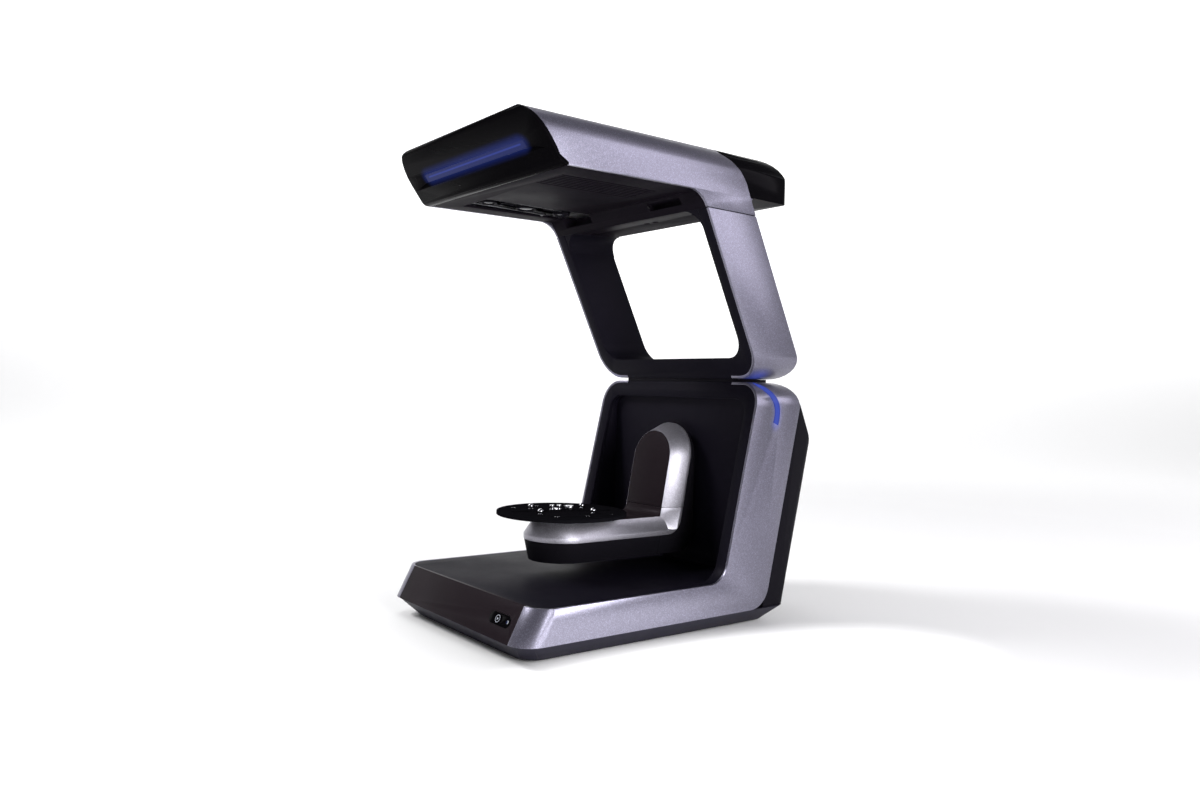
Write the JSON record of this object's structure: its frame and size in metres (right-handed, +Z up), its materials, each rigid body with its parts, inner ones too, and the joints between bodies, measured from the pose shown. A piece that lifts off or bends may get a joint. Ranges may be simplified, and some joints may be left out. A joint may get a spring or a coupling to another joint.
{
  "type": "desktop 3d scanner",
  "caption": "Desktop 3D scanner with a base, a leaning column with a window, an overhanging optics head and a swing arm that carries a turntable",
  "frame": {"origin": "on the floor under the middle of the machine's outer box", "axes": "+X to the right seen from the front, the front faces -Y, +Z up"},
  "size_m": [0.222, 0.3241, 0.4196],
  "materials": {
    "silver_shell": "satin metallic lilac-grey moulding with fine grain",
    "black_shell": "matte black fine-textured moulding",
    "gloss_cap": "glossy black moulding",
    "taupe_panel": "matte brown-grey moulding",
    "arm_silver": "bright satin silver",
    "steel_part": "plain steel",
    "chrome_part": "polished chrome",
    "blue_light": "lit blue diffuser",
    "board": "green circuit board",
    "lens_glass": "coated lens in a black barrel",
    "rubber_foot": "soft black rubber"
  },
  "bodies": {
    "stand": {"bottom_pan": "black_shell", "rubber_feet": "rubber_foot", "base_chassis": "steel_part", "deck_plate": "black_shell", "front_fascia": "taupe_panel", "side_shell_left": "silver_shell", "side_shell_right": "silver_shell", "side_light_left": "blue_light", "side_light_right": "blue_light", "column_bezel": "black_shell", "recess_liner": "black_shell", "back_panel": "black_shell", "rear_cover": "black_shell", "column_frame": "steel_part", "column_top_cap": "black_shell", "neck_block": "black_shell", "upper_frame": "black_shell", "upper_shell_left": "silver_shell", "upper_shell_right": "silver_shell", "beam_cover": "black_shell", "head_chassis": "steel_part", "head_shell": "silver_shell", "head_front_cap": "gloss_cap", "head_bottom_cover": "black_shell", "rear_brow": "gloss_cap", "light_bar": "blue_light", "light_bar_board": "board", "engine_rail": "steel_part", "projector_body": "black_shell", "projector_lens": "lens_glass", "camera_front": "black_shell", "camera_rear": "black_shell", "camera_lenses": "lens_glass", "swing_bearing": "steel_part", "swing_motor": "black_shell", "button_plate": "gloss_cap", "button_light": "blue_light", "button_switch": "board", "main_board": "board", "io_panel": "black_shell", "power_jack": "black_shell", "usb_ports": "steel_part", "rocker_housing": "black_shell", "panel_screws": "steel_part"},
    "swing": {"arm_face": "taupe_panel", "arm_shell": "arm_silver", "arm_body": "black_shell", "swing_shaft": "steel_part", "turntable_motor": "steel_part", "turntable_bearing": "steel_part"},
    "table": {"turntable_spindle": "steel_part", "turntable_disc": "black_shell", "locating_balls": "chrome_part", "plate_clamp": "chrome_part", "disc_screws": "chrome_part"},
    "button": {"start_button": "gloss_cap"},
    "rocker": {"power_rocker": "black_shell"}
  },
  "joints": [
    {"name": "arm_swing", "type": "hinge", "parent": "stand", "child": "swing", "pos_m": [0, 0.0915, 0.145], "axis": [0, 1, 0], "range_deg": [-45, 45]},
    {"name": "table_turn", "type": "hinge", "parent": "swing", "child": "table", "pos_m": [0, -0.0467, 0.0992], "axis": [0, 0, 1], "continuous": true},
    {"name": "start_button_press", "type": "slide", "parent": "stand", "child": "button", "axis": [0, 0.8912, -0.4537], "range_m": [0, 0.0008], "stiffness_N_per_m": 400, "springref_m": -0.0005},
    {"name": "power_rocker_tilt", "type": "hinge", "parent": "stand", "child": "rocker", "pos_m": [-0.018, 0.1212, 0.037], "axis": [1, 0, 0], "range_deg": [-14, 0]}
  ]
}
